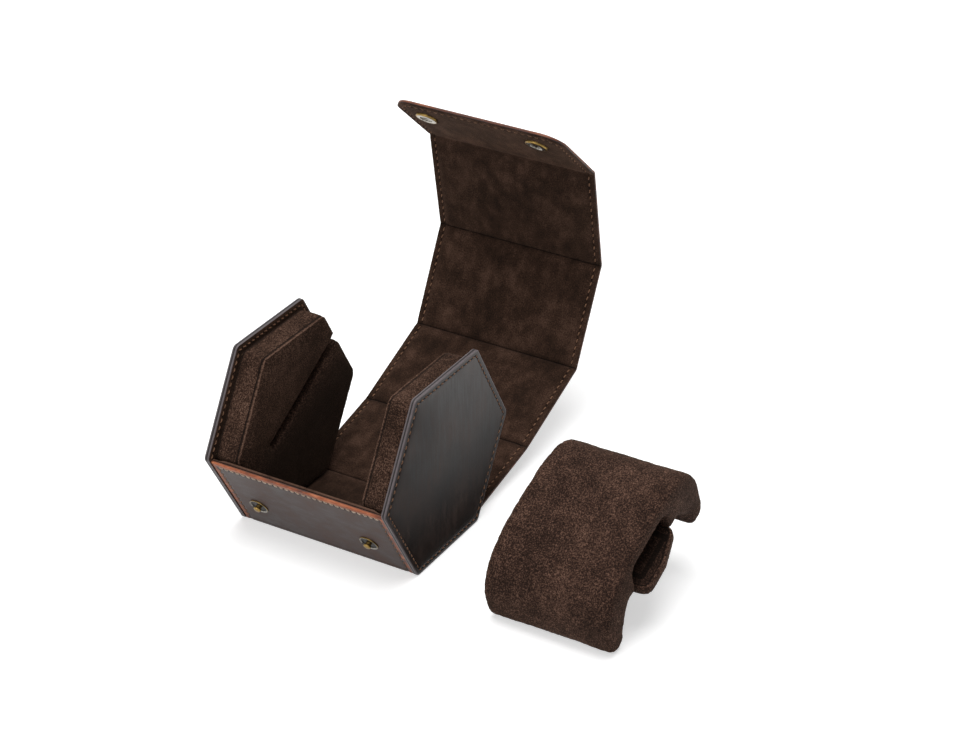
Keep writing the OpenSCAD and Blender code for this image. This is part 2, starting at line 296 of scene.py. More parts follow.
def new_material(name, **sockets):
    """A material with a Principled BSDF and those of its sockets set."""
    material = bpy.data.materials.new(name)
    material.use_nodes = True
    tree = material.node_tree
    shader = tree.nodes["Principled BSDF"]
    drive(tree, shader, **sockets)
    return material, tree, shader


def shaded(tree, colour):
    """The colour, darker by the square of the piece's shade."""
    light = math_node(tree, "SUBTRACT", 1.0, math_node(tree, "POWER", attribute(tree, "shade"), 2.0), True)
    grey = add(tree, "CombineColor", {0: light, 1: light, 2: light}).outputs[0]
    return mix(tree, 1.0, colour, grey, "MULTIPLY")


def line_at(tree, distance, place, half):
    """1 in a thin line at that place of a distance in millimetres."""
    away = math_node(tree, "ABSOLUTE", math_node(tree, "SUBTRACT", distance, place))
    return span(tree, away, half * 0.4, half * 1.6, 1.0, 0.0)


def suede(name, colours, grain, cloudiness, depth):
    """Brushed nap: cloudy patches and a grain of fibre ends, which is that many to the millimetre
    and stands that many millimetres high, with a painted highlight on each seam's ridge and a line of painted
    shade beside it."""
    material, tree, shader = new_material(name, Roughness=0.95, Sheen_Weight=0.14, Sheen_Roughness=0.5,
                                          Specular_IOR_Level=0.10, Sheen_Tint=rgb("b08a70"))
    clouds = fabric_noise(tree, 0.06, 2.0, 0.5)
    patches = fabric_noise(tree, 0.22, 3.0, 0.6, (1, 0.7, 1))
    fibres = fabric_noise(tree, grain, 3.0, 0.75, (1, 0.7, 1))
    soft = span(tree, blended(tree, clouds, 0.5, patches, 0.5), 0.36, 0.64)
    speckle = span(tree, fibres, 0.34, 0.66)
    mottle = blended(tree, soft, cloudiness, speckle, 1 - cloudiness)
    seam = attribute(tree, "seam")
    # A painted highlight along each seam's ridge, and painted shade in a line beside it.
    ridge_highlight = math_node(tree, "MULTIPLY", line_at(tree, seam, 0.0, 0.3), 0.34)
    colour = ramp(tree, math_node(tree, "ADD", mottle, ridge_highlight),
                  [(0.10, colours[0]), (0.50, colours[1]), (0.92, colours[2])])
    seam_shade_line = math_node(tree, "MULTIPLY", line_at(tree, seam, 1.0, 0.34), 0.9)
    colour = mix(tree, seam_shade_line, shaded(tree, colour), rgb("070403"))
    coarse = bump(tree, patches, 0.4, 0.3)
    drive(tree, shader, Base_Color=colour, Normal=bump(tree, fibres, 0.9, depth, coarse))
    return material


def waxed_leather(name):
    """Waxed brown leather: cloudy colour, pull-up marks, fine grain, and burnished edges."""
    material, tree, shader = new_material(name, Specular_IOR_Level=0.34)
    clouds = fabric_noise(tree, 0.06, 4.0, 0.6)
    marks = fabric_noise(tree, 0.30, 6.0, 0.7, (0.35, 1, 1))
    pores = fabric_noise(tree, 1.9, 3.0, 0.6)
    depth = blended(tree, clouds, 0.6, marks, 0.4)
    colour = ramp(tree, depth, [(0.36, "281915"), (0.50, "372520"), (0.66, "4c3730")])
    uneven = math_node(tree, "MULTIPLY", math_node(tree, "SUBTRACT", marks, 0.5), 1.1)
    worn = span(tree, math_node(tree, "ADD", attribute(tree, "edge"), uneven), 0.35, 0.95)
    burnish = ramp(tree, marks, [(0.34, "5e2b14"), (0.50, "96502e"), (0.66, "b87350")])
    coarse = bump(tree, marks, 0.25, 0.25)
    drive(tree, shader, Base_Color=shaded(tree, mix(tree, worn, colour, burnish)),
          Roughness=span(tree, depth, 0.38, 0.62, 0.40, 0.62), Normal=bump(tree, pores, 0.35, 0.12, coarse))
    return material


def panel_leather(name):
    """Smooth dark leather with a faint vertical brushing and painted edges."""
    material, tree, shader = new_material(name, Specular_IOR_Level=0.3)
    clouds = fabric_noise(tree, 0.05, 3.0, 0.5)
    brushing = fabric_noise(tree, 0.9, 4.0, 0.7, (1, 1, 0.08))
    pores = fabric_noise(tree, 2.2, 2.0, 0.6)
    depth = blended(tree, clouds, 0.5, brushing, 0.5)
    colour = ramp(tree, depth, [(0.38, "15100e"), (0.50, "241a16"), (0.63, "382a24")])
    paint = mix(tree, brushing, rgb("463e3e"), rgb("70676a"))
    edge = span(tree, attribute(tree, "edge"), 0.3, 0.7)
    coarse = bump(tree, brushing, 0.2, 0.12)
    drive(tree, shader, Base_Color=shaded(tree, mix(tree, edge, colour, paint)),
          Roughness=span(tree, brushing, 0.38, 0.62, 0.34, 0.46), Normal=bump(tree, pores, 0.2, 0.08, coarse))
    return material


def thread(name, dark, light):
    """Waxed sewing thread, uneven along its twist."""
    material, tree, shader = new_material(name, Roughness=0.7, Specular_IOR_Level=0.3)
    twist = fabric_noise(tree, 3.2, 2.0, 0.5)
    drive(tree, shader, Base_Color=ramp(tree, twist, [(0.35, dark), (0.65, light)]),
          Normal=bump(tree, twist, 0.6, 0.12))
    return material


def aged_brass(name):
    """Brass, and steel where edge is 1, dark in its hollows and rubbed bright where it stands out."""
    material, tree, shader = new_material(name, Metallic=1.0)
    stain = fabric_noise(tree, 0.9, 4.0, 0.65)
    worn = span(tree, math_node(tree, "SUBTRACT", stain, attribute(tree, "shade")), 0.05, 0.45)
    bright = mix(tree, attribute(tree, "edge"), rgb("8f7543"), rgb("a8a49c"))
    drive(tree, shader, Base_Color=mix(tree, worn, rgb("15110d"), bright),
          Roughness=span(tree, stain, 0.3, 0.7, 0.25, 0.45), Normal=bump(tree, stain, 0.2, 0.08))
    return material


def board(name, dark, light):
    """A plain speckled finish for the boards, the blocks' core and the springs."""
    material, tree, shader = new_material(name, Roughness=0.9)
    place = add(tree, "TexCoord").outputs["Object"]
    fibres = add(tree, "TexNoise", {"Vector": place, "Scale": 900.0, "Detail": 4.0}).outputs["Fac"]
    drive(tree, shader, Base_Color=ramp(tree, fibres, [(0.3, dark), (0.7, light)]),
          Normal=bump(tree, fibres, 0.3, 0.1))
    return material


WRAP_LEATHER = waxed_leather("wrap_leather")
PANEL_LEATHER = panel_leather("panel_leather")
LINING_SUEDE = suede("lining_suede", ("1b120d", "39281f", "5f473b"), 2.2, 0.50, 0.16)
BLOCK_SUEDE = suede("block_suede", ("0c0604", "32221a", "6e5447"), 2.0, 0.26, 0.28)
CUSHION_SUEDE = suede("cushion_suede", ("0e0705", "30211b", "745749"), 2.0, 0.24, 0.38)
TAN_THREAD = thread("tan_thread", "553a2a", "946e53")
PALE_THREAD = thread("pale_thread", "8a7868", "d9c8b4")
BRASS = aged_brass("aged_brass")
# A flat dark finish that paints shade into the end panels' stitch grooves.
GROOVE = new_material("groove_painted_shade", Roughness=1.0, Base_Color=rgb("120b08"))[0]
BOARD = board("fibre_board", "6f685d", "9a9184")
CORE = board("core_board", "7b6344", "a58c66")
SPRING = board("spring_steel", "8a8a8a", "b5b5b5")

# ---- Meshes ----

# The seam value of a point that is nowhere near a seam.
NO_SEAM = 9.0


def give(mesh, name, kind, values):
    """Stores a value for each vertex."""
    layer = mesh.attributes.new(name, kind, "POINT")
    layer.data.foreach_set("vector" if kind == "FLOAT_VECTOR" else "value",
                           np.asarray(values, np.float32).ravel())


def dress(piece, material, flat, edge=None, shade=None, seam=None):
    """Gives a piece its material and what the material reads at each vertex."""
    mesh = piece.data
    count = len(mesh.vertices)
    give(mesh, "flat", "FLOAT_VECTOR", flat)
    for key, values, default in (("edge", edge, 0.0), ("shade", shade, 0.0), ("seam", seam, NO_SEAM)):
        give(mesh, key, "FLOAT", [default] * count if values is None else values)
    mesh.materials.clear()
    mesh.materials.append(material)
    return piece


def build(name, points, faces, material, flat=None, edge=None, shade=None, seam=None, sharp=50):
    """A new piece from points in millimetres, with outward faces and smooth shading."""
    mesh = bpy.data.meshes.new(name)
    mesh.from_pydata([Vector(p) * MM for p in points], [], faces)
    shell = bmesh.new()
    shell.from_mesh(mesh)
    bmesh.ops.recalc_face_normals(shell, faces=shell.faces)
    shell.to_mesh(mesh)
    shell.free()
    mesh.shade_smooth()
    mesh.set_sharp_from_angle(angle=radians(sharp))
    return dress(placed(name, mesh), material, flat or points, edge, shade, seam)


def grid_faces(rows, columns, closed, first=0):
    """Faces between the rows of a grid of points, whose first point has that number. A closed
    grid's rows are rings, and an open one's are lines."""
    faces = []
    for i in range(rows - 1):
        for j in range(columns if closed else columns - 1):
            a, b = first + i * columns + j, first + i * columns + (j + 1) % columns
            faces.append([a, b, b + columns, a + columns])
    return faces


def plate_faces(rows, columns, closed):
    """Faces of a front and a back grid of points, the front one first, joined along the first row."""
    size = rows * columns
    faces = grid_faces(rows, columns, closed)
    faces += [face[:1] + face[:0:-1] for face in grid_faces(rows, columns, closed, size)]
    for j in range(columns if closed else columns - 1):
        a, b = j, (j + 1) % columns
        faces.append([a, size + a, size + b, b])
    return faces


def end_walls(rows, columns):
    """Faces that wall in the ends of an open plate's lines."""
    size = rows * columns
    starts = [i * columns + j for i in range(rows - 1) for j in (0, columns - 1)]
    return [[a, a + columns, size + a + columns, size + a] for a in starts]


def middle_faces(rows, columns):
    """Faces that fill what a plate's last line or ring encloses, front and back."""
    size, last = rows * columns, (rows - 1) * columns
    return [[last + j for j in range(columns)], [size + last + j for j in reversed(range(columns))]]


def sheet_faces(rows, columns):
    """Faces of a closed rectangular sheet: two grids, and walls on all four sides."""
    size, last = rows * columns, (rows - 1) * columns
    far_wall = [[a, a + 1, size + a + 1, size + a] for a in range(last, last + columns - 1)]
    return plate_faces(rows, columns, False) + far_wall + end_walls(rows, columns)


# ---- The wrap ----


def turn_at(s):
    """The fold that s belongs to, the distance from it, and the slope of the wrap there."""
    k = max((k for k, turn in enumerate(TURNS) if s >= turn[0] - CREASE_HALF), default=0)
    at, _, before, after = TURNS[k]
    u = s - at
    return k, u, before + smooth((u + CREASE_HALF) / (2 * CREASE_HALF)) * (after - before)


def wrap_point(x, s, h):
    """The point of the wrap at those coordinates of its own."""
    k, u, slope = turn_at(s)
    y = TURNS[k][1].x + u * cos(slope) - h * sin(slope)
    z = TURNS[k][1].y + u * sin(slope) + h * cos(slope)
    return Vector((x, y, z))


def wrap_directions(slope):
    """The way along the wrap where it has that slope, and the way up to its lined side."""
    return Vector((0, cos(slope), sin(slope))), Vector((0, -sin(slope), cos(slope)))


def half_width(s):
    """Half the width of the wrap, which narrows where it leaves the end panels."""
    inside = PANEL_INSIDE - PLAY
    return inside + (LID_HALF - inside) * smooth((s - CREASE_S[0] + CREASE_HALF) / (2 * CREASE_HALF))


def border(x, s):
    """Distance from the nearest outer edge of the wrap, with the flap's round corners."""
    side = half_width(s) - abs(x)
    corner = FLAP_CORNER - side
    end = FLAP_END_S - s
    if corner > 0 and end < FLAP_CORNER:
        return FLAP_CORNER - hypot(corner, FLAP_CORNER - end)
    return min(side, end, s - WALL_TOP_S)


def leather_outside(x, s):
    """Height of the leather's outer face: rounded at its edges, drawn in at stitches and creases."""
    d = border(x, s)
    groove = 0.20 * hump(d - STITCH_INSET, 0.5)
    fold = 0.10 * hump(min(abs(s - c) for c in CREASE_S), 2.5)
    return -LEATHER_HALF + edge_round(d, 0.38) + groove + fold


def leather_inside(x, s):
    """Height of the leather's face at the joint with the lining."""
    return LEATHER_HALF - edge_round(border(x, s), 0.16)


def lining_inside(x, s):
    """Height of the lining's face at the joint with the leather."""
    return LEATHER_HALF + edge_round(border(x, s), 0.14)


def lining_outside(x, s):
    """The suede: raised over the boards, drawn in at the stitches and pressed in at creases."""
    d = border(x, s)
    boarded = 1 - smooth((s - CREASE_S[4] + FRONT_UNBOARDED + 2.5) / 2.5)
    board_rise = (LINED_H - UNBOARDED_H) * boarded
    for c in CREASE_S[:4]:
        board_rise *= 1 - 0.75 * hump(s - c, 2.6)
    board_rise *= smooth(((half_width(s) - abs(x) if s < 0 else d) - 2.6) / 2.4)
    press = sum(0.42 * hump(s - c, 0.42) for c in CREASE_S[:4]) * smooth((half_width(s) - abs(x)) / 1.5)
    groove = 0.24 * hump(d - STITCH_INSET, 0.55)
    cloud = ripples((x, s, 0), LINING_RIPPLES)
    return UNBOARDED_H + board_rise - press - groove - edge_round(d, 0.3) + cloud * smooth(d / 3)


# The stretch of the wrap that lies deep in the case, where its lining gets painted shade, and how far that shade
# fades at its ends.
DEEP_START, DEEP_END, DEEP_FADE = -22, 36, 22


def lining_shade(x, s):
    """How much darker the lining is: painted shade in and beside the pressed creases, along the stitch grooves,
    and deep in the case."""
    fold = min(abs(s - c) for c in CREASE_S[:4])
    in_case_shade = 0.5 * smooth((s - DEEP_START) / DEEP_FADE) * (1 - smooth((s - DEEP_END) / DEEP_FADE))
    return max(0.93 * hump(fold, 0.6), 0.5 * hump(fold, 2.4), 0.85 * hump(border(x, s) - STITCH_INSET, 0.45),
               in_case_shade)


def leather_edge(x, s):
    """1 where the leather's edge is burnished: all its borders, and widest at the wall's top."""
    d = border(x, s)
    rim = 0.6 * (1 - smooth((d - 0.25) / 0.5))
    if s < 0:
        side = 0.75 * (1 - smooth((d - 1.2) / 1.6))
        rim = max(rim, side, 1 - smooth((s - WALL_TOP_S - 1.8) / 0.7))
    return rim


JOINT_SHADE = 0.95
BORDER_STEPS = [0, 0.03, 0.1, 0.2, 0.38, 0.7, 1.2, 1.7, 2.0, 2.3, 2.6, 3.0, 3.6, 4.4, 5.4, 7.0]


def across(half):
    """Places across the wrap, close together near its edges."""
    inner = half - BORDER_STEPS[-1]
    middle = spread(-inner, inner, 15)[1:-1]
    return [-half + d for d in BORDER_STEPS] + middle + [half - d for d in reversed(BORDER_STEPS)]


LAYERS = {
    "leather": (leather_outside, leather_inside, WRAP_LEATHER, "wrap_leather"),
    "lining": (lining_outside, lining_inside, LINING_SUEDE, "suede_lining"),
}


def layer_marks(layer, places):
    """Edge, shade and seam of a layer's shown face at each (x, s), then of its face at the joint.
    The leather gets painted shade along its stitch grooves, and the lining a painted highlight along the top of
    the wall."""
    joint = [JOINT_SHADE] * len(places)
    if layer == "leather":
        edge = [leather_edge(x, s) for x, s in places]
        # Painted shade along the leather's stitch grooves.
        shade = [0.9 * hump(border(x, s) - STITCH_INSET, 0.42) for x, s in places]
        return edge * 2, shade + joint, None
    # A painted highlight on the lining along the top of the wall.
    seam = [min(s - WALL_TOP_S - 0.15, 0.5) if s < -CREASE_HALF else 0.5 for _, s in places]
    return [0.0] * (2 * len(places)), [lining_shade(x, s) for x, s in places] + joint, seam * 2


def layer_piece(name, layer, places, faces):
    """A piece of one layer: its shown face and its face at the joint, both at the same places."""
    outside, inside, material, slot = LAYERS[layer]
    points = [wrap_point(x, s, outside(x, s)) for x, s in places]
    points += [wrap_point(x, s, inside(x, s)) for x, s in places]
    flat = [(x, s, 0.0) for x, s in places] + [(x, s, 2 * LEATHER_HALF) for x, s in places]
    edge, shade, seam = layer_marks(layer, places)
    piece = build(name, points, faces, material, flat, edge, shade, seam)
    return piece


def wrap_strip(name, layer, stations):
    """One layer of the wrap over the given places along it."""
    places = [(x, s) for s in stations for x in across(half_width(s))]
    return layer_piece(name, layer, places, sheet_faces(len(stations), len(across(1))))


def panel_stations(start, end):
    """Places along a panel, close together by its creases."""
    near = [0, 0.5, 1.1, 1.9, 3.0]
    return [start + d for d in near] + spread(start + 6, end - 6, 9) + [end - d for d in reversed(near)]


def make_panels():
    """The front wall, the base with the fold between them, and the four panels of the lid."""
    wall = [WALL_TOP_S + d for d in BORDER_STEPS] + spread(WALL_TOP_S + 9.5, -CREASE_HALF, 12)
    fold = spread(-CREASE_HALF, CREASE_HALF, 11)
    base = fold + spread(CREASE_HALF, CREASE_S[0] - CREASE_HALF, 12)[1:]
    strips = [(name, "case", stations, layer) for layer in LAYERS
              for name, stations in (("front_wall", wall), ("base", base))]
    for k, body in enumerate(LID_BODIES[1:5]):
        stations = panel_stations(CREASE_S[k] + CREASE_HALF, CREASE_S[k + 1] - CREASE_HALF)
        strips += [(body, body, stations, layer) for layer in LAYERS]
    for name, body, stations, layer in strips:
        piece = wrap_strip(f"{name}_{layer}_skin", layer, stations)
        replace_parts(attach(piece, body), f"{name}_{layer}")


def make_creases():
    """The stretch of each layer that bends at a crease, between two bodies."""
    for k, name in enumerate(CREASE_JOINTS):
        start, end = CREASE_S[k] - CREASE_HALF, CREASE_S[k] + CREASE_HALF
        for layer in LAYERS:
            piece = wrap_strip(f"{name}_{layer}", layer, spread(start, end, 25))
            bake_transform(piece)


def flap_ring(inset):
    """Points (x, s) round the flap's three free edges, that far in from them."""
    start = CREASE_S[4] + CREASE_HALF
    half = LID_HALF - inset
    end = FLAP_END_S - inset
    radius = FLAP_CORNER - inset
    turn_s = FLAP_END_S - FLAP_CORNER
    turn_x = LID_HALF - FLAP_CORNER
    side = [(half, s) for s in spread(start, turn_s, 14)]
    arc = [(turn_x + radius * cos(a), turn_s + radius * sin(a))
           for a in spread(0, pi / 2, 15)[1:]]
    far = [(x, end) for x in spread(turn_x, 0, 12)[1:]]
    right = side + arc + far
    return right + [(-x, s) for x, s in reversed(right[:-1])]


def make_flap():
    """The flap: lines round its free edges, and one face inside them up to the crease."""
    rings = [flap_ring(d) for d in BORDER_STEPS]
    rows, columns = len(rings), len(rings[0])
    size, last = rows * columns, (rows - 1) * columns
    faces = plate_faces(rows, columns, False) + middle_faces(rows, columns) + end_walls(rows, columns)
    faces.append([last, last + columns - 1, size + last + columns - 1, size + last])
    places = [p for ring in rings for p in ring]
    for layer in LAYERS:
        piece = layer_piece(f"flap_{layer}_skin", layer, places, faces)
        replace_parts(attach(piece, "flap"), f"flap_{layer}")


# ---- Stitches ----


def stitch_mesh(places, thread_radius, slant):
    """Points and faces of short threads that dip into the surface at both ends.

    Each place is a point, the direction of the row and the way out of the surface."""
    sides, rings = 6, 7
    points, faces = [], []
    for middle, along, out in places:
        sideways = along.cross(out).normalized()
        first = len(points)
        for v in spread(-1, 1, rings):
            centre = middle + along * (v * STITCH_LENGTH / 2) + sideways * (v * slant)
            centre = centre + out * (0.34 * (1 - v * v) - 0.22)
            radius = thread_radius * sqrt(max(1 - 0.92 * v**4, 0.0))
            for k in range(sides):
                a = 2 * pi * k / sides
                points.append(centre + sideways * (radius * cos(a)) + out * (radius * sin(a)))
        faces += grid_faces(rings, sides, True, first)
        faces.append([first + k for k in range(sides)])
        faces.append([first + (rings - 1) * sides + k for k in range(sides)])
    return points, faces


def sew(name, body, places, material=TAN_THREAD, radius=0.28, slant=0.18):
    """A piece of stitches at those places, which rides on the body they are sewn into."""
    points, faces = stitch_mesh(places, radius, slant)
    piece = build(name, points, faces, material, sharp=80)
    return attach(piece, body)


def evenly(start, end, pitch=STITCH_PITCH):
    """Middles of the stitches of a row from start to end."""
    count = max(round((end - start) / pitch), 1)
    return [start + (end - start) * (k + 0.5) / count for k in range(count)]


def on_wrap(x, s, lined, along_x):
    """A stitch on the lined or the leather side of the wrap."""
    run, up = wrap_directions(turn_at(s)[2])
    h = lining_outside(x, s) if lined else leather_outside(x, s)
    along = Vector((1, 0, 0)) if along_x else run
    return wrap_point(x, s, h), along, up if lined else -up


def side_rows(start, end, lined):
    """Stitches along both sides of the wrap from start to end."""
    rows = []
    for s in evenly(start, end):
        for side in (-1, 1):
            rows.append(on_wrap(side * (half_width(s) - STITCH_INSET), s, lined, False))
    return rows


def make_wrap_stitches():
    for k, body in enumerate(LID_BODIES[1:5]):
        start, end = CREASE_S[k] + 1.0, CREASE_S[k + 1] - 1.0
        sew(f"{body}_stitches", body, side_rows(start, end, True) + side_rows(start, end, False))
    wall = side_rows(WALL_TOP_S + STITCH_INSET + 1, -CREASE_HALF, False)
    wall += side_rows(CREASE_HALF, CREASE_S[0] - CREASE_HALF, False)
    sew("side_stitches", "case", wall)
    reach = half_width(WALL_TOP_S) - STITCH_INSET
    rim = [on_wrap(x, WALL_TOP_S + STITCH_INSET, lined, True)
           for x in evenly(-reach, reach, RIM_PITCH) for lined in (False, True)]
    sew("rim_stitches", "case", rim, material=PALE_THREAD, radius=0.36, slant=0.5)


def along_line(points, pitch):
    """(point, direction) at even steps along an open line of flat points."""
    lengths = [dist(a, b) for a, b in zip(points, points[1:])]
    result = []
    for target in evenly(0, sum(lengths), pitch):
        k = 0
        while target > lengths[k] and k < len(lengths) - 1:
            target -= lengths[k]
            k += 1
        a, b = points[k], points[k + 1]
        t = target / lengths[k]
        direction = ((b[0] - a[0]) / lengths[k], (b[1] - a[1]) / lengths[k])
        result.append(((a[0] + (b[0] - a[0]) * t, a[1] + (b[1] - a[1]) * t), direction))
    return result


def make_flap_stitches():
    run, up = wrap_directions(FLAP_SLOPE)
    places = []
    for (x, s), (dx, ds) in along_line(flap_ring(STITCH_INSET), STITCH_PITCH):
        along = Vector((dx, 0, 0)) + run * ds
        places.append((wrap_point(x, s, lining_outside(x, s)), along, up))
        places.append((wrap_point(x, s, leather_outside(x, s)), along, -up))
    sew("flap_stitches", "flap", places)


# ---- End panels ----

PANEL_RADIUS = 2.5
CORNER_POINTS, SIDE_POINTS = 7, 9
BLOCK_INSET = 3.3
PANEL_STITCH = 2.2
PANEL_PITCH = 2.79
PILE = 0.10
PANEL_STEPS = [0, 0.04, 0.12, 0.25, 0.45, 0.8, 1.2, 1.6, 1.9, 2.2, 2.5, 2.8, 3.3, 3.8, 4.3, 5.5, 7.5,
               11, 16, 22, 28, 33]


def hexagon_ring(inset, radius=PANEL_RADIUS):
    """Points (y, z) of a hexagon with rounded corners, set in from the end panel's outline."""
    apothem = HEX_APOTHEM - inset
    radius = max(radius - inset, 0.25)
    reach = (apothem - radius) / cos(radians(30))
    arcs = []
    for k in range(6):
        turn = radians(60 * k)
        arcs.append([(reach * cos(turn) + radius * cos(a),
                      HEX_APOTHEM + reach * sin(turn) + radius * sin(a))
                     for a in spread(turn - pi / 6, turn + pi / 6, CORNER_POINTS)])
    ring = []
    for k, arc in enumerate(arcs):
        (y0, z0), (y1, z1) = arc[-1], arcs[(k + 1) % 6][0]
        ring += arc
        ring += [(y0 + (y1 - y0) * t, z0 + (z1 - z0) * t) for t in spread(0, 1, SIDE_POINTS + 2)[1:-1]]
    return ring


def panel_leather_height(d):
    """Height of an end panel's outer face over its flat level, at that distance from the edge."""
    crown = 0.10 * smooth((d - 2.6) / 2.6) + 0.25 * smooth((d - 3) / 28)
    return crown - edge_round(d, 0.42) - 0.17 * hump(d - PANEL_STITCH, 0.45)


def panel_lining_height(d):
    """The same for the inner face of its lining."""
    return -edge_round(d, 0.40) - 0.22 * hump(d - PANEL_STITCH, 0.5)


def paint(piece, material, mark):
    """Gives the material to the faces where that value is high at every corner."""
    mesh = piece.data
    mesh.materials.append(material)
    marks = mesh.attributes[mark].data
    for face in mesh.polygons:
        if min(marks[k].value for k in face.vertices) > 0.7:
            face.material_index = len(mesh.materials) - 1


def make_end_panel(side, word):
    """One end panel: dark leather outside, suede inside, each with a rounded edge."""
    rings = [hexagon_ring(d) for d in PANEL_STEPS]
    columns = len(rings[0])
    faces = plate_faces(len(rings), columns, True) + middle_faces(len(rings), columns)
    row = hexagon_ring(PANEL_STITCH)
    row = along_line(row + row[:1], PANEL_PITCH)
    stitches = []
    layers = {
        "leather": (CASE_HALF, 1, panel_leather_height, 0.0, PANEL_LEATHER, "panel_leather"),
        "lining": (PANEL_INSIDE, -1, panel_lining_height, PILE, LINING_SUEDE, "suede_lining"),
    }
    for layer, (face_x, out, height, pile, material, slot) in layers.items():
        front, back, edge, shade, groove = [], [], [], [], []
        for d, ring in zip(PANEL_STEPS, rings):
            front += [(side * (face_x + out * height(d)), y, z) for y, z in ring]
            back += [(side * (PANEL_SPLIT + out * edge_round(d, 0.16)), y, z) for y, z in ring]
            edge += [1 - smooth((d - 0.30) / 0.35)] * columns
            # Painted shade along the stitch groove, and on the lining where the side block meets it.
            shade_by_block = 0.9 * hump(d - BLOCK_INSET, 0.7) if layer == "lining" else 0.0
            shade += [max(0.93 * hump(d - PANEL_STITCH, 0.6), shade_by_block)] * columns
            groove += [hump(d - PANEL_STITCH, 0.62)] * columns
        name = f"end_panel_{layer}_{word}"
        edge += [1.0] * len(back)
        shade += [JOINT_SHADE] * len(back)
        piece = build(f"{name}_skin", front + back, faces, material, None, edge, shade)
        give(piece.data, "groove", "FLOAT", groove + [0.0] * len(back))
        paint(piece, PANEL_LEATHER, "edge")
        # The groove's faces on the leather get the flat dark finish: painted shade.
        if layer == "leather":
            paint(piece, GROOVE, "groove")
        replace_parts(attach(piece, "case"), name)
        sewn_x = side * (face_x + out * (height(PANEL_STITCH) + pile))
        for (y, z), (dy, dz) in row:
            stitches.append((Vector((sewn_x, y, z)), Vector((0, dy, dz)), Vector((side * out, 0, 0))))
    sew(f"end_panel_stitches_{word}", "case", stitches)


# ---- Solid soft pieces ----


def applied(piece):
    """Applies the piece's modifiers to its mesh."""
    shown = piece.evaluated_get(bpy.context.evaluated_depsgraph_get())
    mesh = bpy.data.meshes.new_from_object(shown)
    piece.modifiers.clear()
    piece.data = mesh
    return piece


def modified(piece, kind, **settings):
    """Adds one modifier and applies it."""
    assign(piece.modifiers.new(kind.lower(), kind), **settings)
    return applied(piece)


def vertex_arrays(piece):
    """The piece's points in millimetres and their normals."""
    mesh = piece.data
    points = np.empty(len(mesh.vertices) * 3, np.float32)
    normals = np.empty(len(mesh.vertices) * 3, np.float32)
    mesh.vertices.foreach_get("co", points)
    mesh.vertex_normals.foreach_get("vector", normals)
    return points.reshape(-1, 3) / MM, normals.reshape(-1, 3)


def move_points(piece, points):
    piece.data.vertices.foreach_set("co", (np.asarray(points, np.float32) * MM).ravel())
    piece.data.update()


def remeshed(piece, cell, passes):
    """Rebuilds the piece in even cells of that size and rounds it off, and returns its points
    and normals."""
    modified(piece, "REMESH", mode="VOXEL", voxel_size=cell * MM)
    modified(piece, "SMOOTH", factor=0.5, iterations=passes)
    return vertex_arrays(piece)


def cover(piece, material, points, shade, seam):
    """Moves a soft piece's points to their last places and gives it its suede."""
    move_points(piece, points)
    piece.data.shade_smooth()
    dress(piece, material, points, None, shade, seam)


def prism(name, outline, x0, x1):
    """A plain solid between two places along X, from an outline in (y, z)."""
    count = len(outline)
    points = [(x, y, z) for x in (x0, x1) for y, z in outline]
    faces = [list(range(count)), [count + k for k in reversed(range(count))]]
    faces += [[k, (k + 1) % count, count + (k + 1) % count, count + k] for k in range(count)]
    return build(name, points, faces, BOARD)


def cut(piece, tool):
    modified(piece, "BOOLEAN", operation="DIFFERENCE", object=tool, solver="EXACT")
    bpy.data.objects.remove(tool)


BLOCK_FACE = node_box("side_block_cover_right")[0].x
BLOCK_RADIUS = 3.0
GROOVE_TILT = radians(30)
GROOVE_WIDTH = 4.6
GROOVE_DEPTH = 6.5
GROOVE_OFFSET = 4.6
GROOVE_END = -18
# How far the plain block is set in under its cover, and how near the end panel the cover stays
# where it is.
NAP = 0.3
GLUED = 0.4
# Where painted shade starts on a block's face towards the base, how that line rises to the back,
# and over how much height the shade deepens.
DARK_BELOW, DARK_SLOPE, DARK_FADE = 66, 0.35, 38


def groove_coordinates(y, z):
    """Distance along the groove from the middle of the hexagon, and across it."""
    c, s = cos(GROOVE_TILT), sin(GROOVE_TILT)
    return y * c + (z - HEX_APOTHEM) * s, (z - HEX_APOTHEM) * c - y * s - GROOVE_OFFSET


def hexagon_depth(y, z):
    """Distance in from the outline of the end panel."""
    reach = max(abs(y * cos(a) + (z - HEX_APOTHEM) * sin(a))
                for a in (pi / 6, pi / 2, 5 * pi / 6))
    return HEX_APOTHEM - reach


def block_swell(x, y, z, facing):
    """How far the block's cover stands out of its plain shape, in millimetres."""
    e = x - BLOCK_FACE
    d = hexagon_depth(y, z) - BLOCK_INSET
    along, over = groove_coordinates(y, z)
    from_groove = max(abs(over) - GROOVE_WIDTH / 2, GROOVE_END - along, 0.0)
    in_groove = from_groove == 0.0 and e > 0.6
    r = hypot(max(e, 0), max(d, 0))
    welt = 0.34 * hump(r - 0.3, 0.5) - 0.20 * hump(r - 1.4, 0.5)
    crown = 0.55 * (1 - exp(-max(d, 0) / 3.5)) * (1 - exp(-from_groove / 1.8)) * facing
    strip = 0.28 * sin(pi * min(max(e / (PANEL_INSIDE - BLOCK_FACE), 0), 1)) * (1 - facing)
    return 0.0 if in_groove else welt + crown + strip


